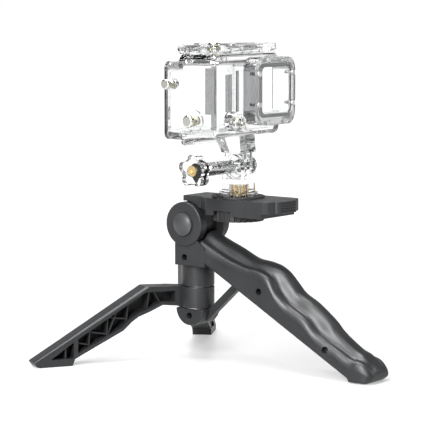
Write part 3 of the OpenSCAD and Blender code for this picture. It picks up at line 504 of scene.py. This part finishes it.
def make_leg(name, root, top, degrees, mirrored, body, *nodes):
    high = top > 50
    side_view = [(0, root), (11.6, root), (13, 33.8), (23, 34.8), (31, 31.3), (39.5, 28.1), (44, 25.1),
                 (49.5, 20.1), (79.3, 5.4), (81.7, 4.2), (83.3, 0), (104.3, 0), (106.6, 0.7),
                 (108.1, 3.0), (107.6, 3.9), (35, 47), (17 if high else 20, top), (0, top)]
    leg = solid_from(name, 1, side_view, leg_in, leg_out)
    bevel_where(leg, lambda r, across, z: on_top_edge(r, z) and across < leg_in + 1, 2.8)
    bevel_where(leg, lambda r, across, z: on_top_edge(r, z) and across > leg_out - 1, 2.4)
    carve(leg, solid_from("root_taper", 2, [(17, leg_out + 0.1), (8, 10.1), (-2, 10.1), (-2, 17), (17, 17)],
                          root - 3, top + 3))
    carve(leg,
          solid_from("leg_pocket", 1, leg_pocket, leg_in - 1, leg_out - 2),
          solid_from("foot_pocket", 1, foot_pocket, leg_in - 1, leg_out - 2))
    ribs = [bar(a, b, 0.8, leg_in + 2.2, leg_out - 1) for a, b in rib_runs]
    ribs += [bar((87.6, 4), (87.6, top_line(87.6, 3)), 1.0, leg_in + 1.2, leg_out - 1)]
    weld(leg, *ribs)
    weld(leg, round_off(rod("knuckle", 2, (0, 0), root, top, knuckle_r, 72), 0.5))
    carve(leg, rod("axle_bore", 2, (0, 0), root - 1, top + 1, 4.06, 48))
    round_off(leg, 0.3, steps=2, angle=40)
    bpy.ops.object.select_all(action="DESELECT")
    bpy.context.view_layer.objects.active = leg
    leg.select_set(True)
    if mirrored:
        leg.scale = (1, -1, 1)
        bpy.ops.object.transform_apply(location=True, rotation=True, scale=True)
    leg.rotation_euler = (0, 0, math.radians(degrees))
    leg.location = (0, col_y * MM, 0)
    bpy.ops.object.transform_apply(location=True, rotation=True, scale=True)
    bpy.ops.object.mode_set(mode="EDIT")
    bpy.ops.mesh.select_all(action="SELECT")
    bpy.ops.mesh.normals_make_consistent(inside=False)
    bpy.ops.object.mode_set(mode="OBJECT")
    return settle(leg, BLACK, body, "black_plastic", *nodes)


make_leg("left_leg_moulding", *low_knuckle, 150, True, "left_leg", "left_leg", "left_knuckle")
make_leg("right_leg_moulding", *high_knuckle, 30, False, "right_leg", "right_leg", "right_knuckle")

# ---------------------------------------------------------------- tilting head
# One moulding carries the platform, its grooved tongue and the barrel between the ears. A toothed
# steel ring is let into the barrel's end, and a rubber pad sits on top.


def from_cad(name, node, width, steps=2):
    """A copy of a machined node, merged, cleaned of its triangles and with its edges broken."""
    source = frame["nodes"][node]
    piece = bpy.data.objects.new(name, source.data.copy())
    bpy.context.collection.objects.link(piece)
    bpy.ops.object.select_all(action="DESELECT")
    bpy.context.view_layer.objects.active = piece
    piece.select_set(True)
    bpy.ops.object.mode_set(mode="EDIT")
    bpy.ops.mesh.select_all(action="SELECT")
    bpy.ops.mesh.remove_doubles(threshold=2e-6)
    bpy.ops.mesh.dissolve_limited(angle_limit=math.radians(1))
    bpy.ops.object.mode_set(mode="OBJECT")
    return round_off(piece, width, steps, 30)


RUBBER = finish_of("pad_rubber", (0.008, 0.008, 0.009), (0.014, 0.014, 0.015),
                   (0.55, 0.75), bump=0.7)
settle(from_cad("platform_moulding", "platform", 0.5), BLACK, "head", "black_plastic", "platform")

settle(from_cad("toothed_ring", "detent_ring", 0.15), STEEL, "head", "steel", "detent_ring")
settle(from_cad("pad", "rubber_pad", 0.15), RUBBER, "head", "black_rubber", "rubber_pad")

# ---------------------------------------------------------------- tilt lock
# A domed push button in the left ear, moulded a shade paler than the grip.
# A spring-wire coil seated in its hollow back pushes it out.
BUTTON_BLACK = finish_of("button_black", (0.016, 0.017, 0.018), (0.026, 0.027, 0.028),
                         (0.34, 0.46), bump=0.6)
SPRING = finish_of("spring_wire", (0.3, 0.29, 0.2), (0.46, 0.44, 0.32),
                   (0.22, 0.34), patch=400, Metallic=1)

def coil(name, axis, middle, low, high, radius, wire, turns):
    """A wound spring: a round wire carried round and along its axis, with closed ends."""
    bpy.ops.mesh.primitive_circle_add(vertices=10, radius=wire * MM, rotation=(math.pi / 2, 0, 0),
                                      location=(radius * MM, 0, 0))
    piece = bpy.context.object
    piece.name = name
    bpy.ops.object.transform_apply(location=True, rotation=True, scale=True)
    run = high - low - 2 * wire
    apply_to(piece, "SCREW", angle=2 * math.pi, screw_offset=run / turns * MM, iterations=turns,
             steps=20, render_steps=20, axis="Z", use_normal_calculate=True)
    bpy.ops.object.mode_set(mode="EDIT")
    bpy.ops.mesh.select_all(action="SELECT")
    bpy.ops.mesh.remove_doubles(threshold=1e-7)
    bpy.ops.mesh.fill_holes(sides=0)
    bpy.ops.mesh.select_all(action="SELECT")
    bpy.ops.mesh.normals_make_consistent(inside=False)
    bpy.ops.object.mode_set(mode="OBJECT")
    place = list(middle)
    place.insert(axis, low + wire)
    piece.rotation_euler = [(0, math.pi / 2, 0), (-math.pi / 2, 0, 0), (0, 0, 0)][axis]
    piece.location = Vector(place) * MM
    bpy.ops.object.transform_apply(location=True, rotation=True, scale=True)
    return piece


def spring(name, node, body, joint_name, turns, wire):
    """The coil that stands for a sleeve node, wound along the axis of its button's travel."""
    low, high = (Vector(v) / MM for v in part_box(node))
    size = high - low
    joint = next(j for j in frame["joints"] if j["name"] == joint_name)
    travel = Vector(joint["axis"])
    axis = max(range(3), key=lambda i: abs(travel[i]))
    middle = [(low[i] + high[i]) / 2 for i in range(3) if i != axis]
    radius = min(size[i] for i in range(3) if i != axis) / 2
    piece = coil(name, axis, middle, low[axis], high[axis], radius - wire, wire, turns)
    settle(piece, SPRING, body, "spring_steel", node, smooth=60)
    anchor = [(a + b) / 2 * MM for a, b in zip(low, high)]
    anchor[axis] = (high if travel[axis] > 0 else low)[axis] * MM
    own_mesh(piece)
    return piece


settle(from_cad("lock_button", "tilt_lock_button", 0.3), BUTTON_BLACK, "tilt_lock", "black_button",
       "tilt_lock_button")
spring("lock_coil", "tilt_lock_spring", "grip_body", "tilt_lock_press", 4, 0.4)

# ---------------------------------------------------------------- clamp wheel and camera screw
# A knurled wheel under the platform turns the quarter inch screw that holds the mount down.
# The wheel is black nylon, matt from its knurls, pressed on a plated steel screw.
WHEEL_BLACK = finish_of("wheel_black", (0.006, 0.006, 0.0065), (0.011, 0.011, 0.012),
                        (0.4, 0.55), bump=0.4, Specular_IOR_Level=0.35)
settle(from_cad("knurled_wheel", "clamp_wheel", 0.3), WHEEL_BLACK, "clamp", "black_wheel", "clamp_wheel")
settle(from_cad("camera_screw_turned", "camera_screw", 0.3), STEEL, "clamp", "steel", "camera_screw")

# ---------------------------------------------------------------- prong mount
# A clear three-prong adapter screws onto the platform through a brass insert, and holds a steel
# nut for the long thumbscrew, whose clear five-lobed knob shows a brass ring in its face.
CLEAR = finish_of("clear_plastic", (0.975, 0.98, 0.982), (0.992, 0.995, 0.996),
                  (0.015, 0.05), bump=0.03, Transmission_Weight=1, IOR=1.58)
BRASS = finish_of("turned_brass", (0.6, 0.45, 0.2), (0.78, 0.63, 0.34),
                  (0.2, 0.34), patch=300, Metallic=1)
settle(from_cad("prong_adapter", "mount_adapter", 0.4), CLEAR, "adapter", "clear_plastic",
       "mount_adapter")
settle(from_cad("brass_insert", "threaded_insert", 0.2), BRASS, "adapter", "brass", "threaded_insert")
settle(from_cad("hex_nut", "pivot_nut", 0.3), STEEL, "adapter", "steel", "pivot_nut")
settle(from_cad("star_knob", "thumbscrew_knob", 0.8, 4), CLEAR, "thumbscrew", "clear_plastic",
       "thumbscrew_knob")
settle(from_cad("knob_ring", "knob_insert", 0.2), BRASS, "thumbscrew", "brass", "knob_insert")
settle(from_cad("long_bolt", "thumbscrew_bolt", 0.3), STEEL, "thumbscrew", "steel", "thumbscrew_bolt")

# ---------------------------------------------------------------- housing shell
# One clear injection moulding: thick walls, a square rim behind, the lens port in front, two prongs
# below, bosses for the buttons, and lugs for the latch and the door hinge.
shell_half, shell_front, shell_low, shell_high = 34, -39, 143.5, 194.1
rim_from, rim_back = -12.7, -3.2
lens_x, lens_z = 15.05, 171.6
pivot_at, latch_at, hinge_at = (at_column(0, y, z)[1:] for y, z in (
    (-32, 124.5), (-13.7, 197.3), (-4.7, 139.2)))
mode_at, shutter_at = (-18.5, 153.5), at_column(-22, -30, 0)[:2]
lower_at, upper_at = (at_column(0, y, z)[1:] for y, z in ((-24.5, 154), (-7.1, 176)))
stem_bore_r, seal_seat_r = 1.56, 2.96
# Clear plastic darkened to paint shade and dark reflection bands onto chosen faces of the shell, not a tint
# of the moulding
PAINTED_SHADE_CLEAR = finish_of("painted_shade_plastic", (0.085, 0.088, 0.09), (0.15, 0.153, 0.156),
                  (0.05, 0.12), bump=0.03, Transmission_Weight=0.9, IOR=1.58)
CLOUDY = finish_of("frosted_plastic", (0.5, 0.505, 0.51), (0.72, 0.725, 0.73),
                   (0.1, 0.22), bump=0.2, Transmission_Weight=0.85, IOR=1.5)
GLASS = finish_of("window_glass", (0.95, 0.97, 0.97), (0.97, 0.98, 0.985),
                  (0.0, 0.01), bump=0.0, Transmission_Weight=1, IOR=1.5)
SILICONE = finish_of("silicone", (0.72, 0.72, 0.7), (0.82, 0.82, 0.8),
                     (0.35, 0.5), Transmission_Weight=0.3)


def rounded(name, low, high, sides, edges, steps=5):
    """A moulded block: its four edges along Y take one radius, its front edges another."""
    piece = block(name, at_column(*low), at_column(*high))
    bpy.ops.object.mode_set(mode="EDIT")
    bpy.ops.mesh.select_mode(type="EDGE")
    bpy.ops.mesh.select_all(action="DESELECT")
    bpy.ops.object.mode_set(mode="OBJECT")
    for edge in piece.data.edges:
        a, b = (piece.data.vertices[i].co for i in edge.vertices)
        edge.select = abs(a.x - b.x) < 1e-6 and abs(a.z - b.z) < 1e-6
    bpy.ops.object.mode_set(mode="EDIT")
    bpy.ops.mesh.bevel(offset=sides * MM, segments=steps, affect="EDGES")
    bpy.ops.mesh.select_mode(type="VERT")
    bpy.ops.object.mode_set(mode="OBJECT")
    front = col_y + low[1]
    return bevel_where(piece, lambda x, y, z: y < front + 0.01, edges, 4)


shell = rounded("clear_shell", (-shell_half, shell_front, shell_low),
                (shell_half, rim_from + 1, shell_high), 5, 1.6)
weld(shell,
     rounded("rim", (-shell_half, rim_from, shell_low - 2), (shell_half, rim_back, 189.6), 4, 0.7),
     rounded("port", (-4.5, -48, 150.1), (shell_half, shell_front + 1, 192.1), 7, 0.5),
     solid_from("gusset", 0, [(col_y + y, z) for y, z in (
         (-39.5, 133.0), (-24.5, 133.0), (-19, shell_low + 1), (-38.5, shell_low + 1))], -8, 8),
     *[weld(rod("prong_tip", 0, pivot_at, x - 1.35, x + 1.35, 7.5, 48),
            block("prong_web", at_column(x - 1.35, -39.5, 124.5), at_column(x + 1.35, -24.5, 133.6)))
       for x in (-3, 3)],
     rod("mode_boss", 1, mode_at, col_y - 45.2, col_y - 38, 6),
     rod("lower_boss", 0, lower_at, -35.6, -33, 6.6),
     rod("upper_boss", 0, upper_at, -35.6, -33, 3.6),
     rod("shutter_boss", 2, shutter_at, 193, 196.1, 4.4),
     *[weld(rod("lug_eye", 0, latch_at, a, b, 2.4, 32),
            block("lug_foot", at_column(a, -16.1, 193), at_column(b, -12.7, 197.3)))
       for a, b in ((-28.6, -16.4), (27, 33.2))],
     *[weld(rod("hinge_eye", 0, hinge_at, a, b, 2.2, 32),
            block("hinge_foot", at_column(a, -6.9, 139.2), at_column(b, -3.3, 142.5)))
       for a, b in ((-20, -12), (12, 20))])
carve(shell,
      rounded("bay", (-30.3, -36.5, 145.5), (30.3, -13.2, 190.3), 3, 2.4),
      rounded("bay_mouth", (-30.3, -16, 145.5), (30.3, 2, 187.3), 3, 0.4),
      rounded("port_hole", (lens_x - 16, -60, lens_z - 14.5), (lens_x + 16, -35, lens_z + 14.5), 3, 0.1),
      rounded("gasket_seat", (lens_x - 18.2, -60, lens_z - 16.7),
              (lens_x + 18.2, -47, lens_z + 16.7), 5, 0.1),
      rod("pivot_bore", 0, pivot_at, -20, 20, 2.56, 32),
      rod("latch_bore", 0, latch_at, -40, 40, 1.2, 24),
      rod("hinge_bore", 0, hinge_at, -25, 25, 1, 24),
      rod("mode_bore", 1, mode_at, col_y - 46, col_y - 36, stem_bore_r, 24),
      rod("lower_bore", 0, lower_at, -40, -29, stem_bore_r, 24),
      rod("upper_bore", 0, upper_at, -40, -29, stem_bore_r, 24),
      rod("shutter_bore", 2, shutter_at, 189, 199, stem_bore_r, 24),
      rod("mode_seal_seat", 1, mode_at, col_y - 38.4, col_y - 37, seal_seat_r, 24),
      rod("lower_seal_seat", 0, lower_at, -32.8, -31.4, seal_seat_r, 24),
      rod("upper_seal_seat", 0, upper_at, -32.8, -31.4, seal_seat_r, 24),
      rod("shutter_seal_seat", 2, shutter_at, 191.5, 192.9, seal_seat_r, 24))
# Three thin ribs inside the bay, whose inner faces carry painted shade bands
weld(shell,
     block("side_shade_rib", at_column(-30.9, -35.2, 158), at_column(-29.7, -30.6, 186)),
     block("front_shade_rib", at_column(-20.5, -37, 159), at_column(-14.5, -35.9, 182)),
     block("lens_shade_rib", at_column(-9.5, -37, 157), at_column(-7.5, -35.7, 184)))
round_off(shell, 0.35, steps=2, angle=50)
settle(shell, CLEAR, "housing", "clear_plastic", "front_shell")


def shade_faces(piece, paint, test):
    """Puts a second paint on the faces whose middle passes a test in millimetres."""
    piece.data.materials.append(paint)
    for face in piece.data.polygons:
        if test(face.center / MM, face.normal):
            face.material_index = len(piece.data.materials) - 1


# Painted shade: the port's outer left side and the inner faces of the bay's thin ribs take the darkened
# clear paint as dark bands
shade_faces(shell, PAINTED_SHADE_CLEAR, lambda at, way:
            at.y < col_y - 39.6 and at.x < -4.0 and way.x < -0.7 and at.z > 156
            or -30.2 < at.x < -29.2 and 157 < at.z < 187 and col_y - 35.4 < at.y < col_y - 30.4
            or -21 < at.x < -7 and 156 < at.z < 185 and col_y - 36.4 < at.y < col_y - 35.5)
settle(from_cad("port_frame", "lens_frame", 0.5, 3), CLOUDY, "housing", "clear_plastic", "lens_frame")
settle(from_cad("port_window", "lens_window", 0.15), GLASS, "housing", "window_glass", "lens_window")
settle(from_cad("port_gasket", "lens_gasket", 0.15), SILICONE, "housing", "silicone", "lens_gasket")
settle(from_cad("port_screws", "lens_screws", 0.25), STEEL, "housing", "steel", "lens_screws")
paint_nodes(STEEL, "latch_pin", "door_hinge_pin")

# ---------------------------------------------------------------- back door
# A clear moulded lid with a raised panel, a groove for its white silicone gasket, and a knuckle
# below that turns on the housing's hinge pin.
settle(from_cad("clear_door", "back_door", 0.4), CLEAR, "door", "clear_plastic", "back_door")
settle(from_cad("door_seal", "door_gasket", 0.25), SILICONE, "door", "silicone", "door_gasket")

# ---------------------------------------------------------------- latch
# A clear lever hinged across the top on a steel pin.
# It pulls a small clear hook over the door's upper edge.
settle(from_cad("clear_lever", "latch_lever", 0.4), CLEAR, "latch", "clear_plastic", "latch_lever")
settle(from_cad("clear_hook", "latch_hook", 0.3), CLEAR, "hook", "clear_plastic", "latch_hook")
paint_nodes(STEEL, "hook_pin")

# ---------------------------------------------------------------- push buttons
# Four sprung plungers, polished metal but for the clear one in front, each over a coil of olive
# spring wire. A wire clip keeps each one in, and a silicone seal keeps the water out.
CAP = finish_of("cap_steel", (0.55, 0.55, 0.5), (0.68, 0.68, 0.62),
                (0.12, 0.22), patch=300, Metallic=1)
for name in ("shutter", "lower_side", "upper_side"):
    plunger = from_cad(name + "_plunger", name + "_button", 0.3, 3)
    settle(plunger, CAP, name, "button_metal", name + "_button")
settle(from_cad("mode_plunger", "mode_button", 0.3, 3), CLEAR, "mode", "clear_plastic", "mode_button")
for name in ("shutter", "mode", "lower_side", "upper_side"):
    spring(name + "_coil", name + "_spring", "housing", name + "_press", 4, 0.3)
paint_nodes(SPRING, "shutter_clip", "mode_clip", "lower_side_clip", "upper_side_clip")
paint_nodes(SILICONE, "button_seals")
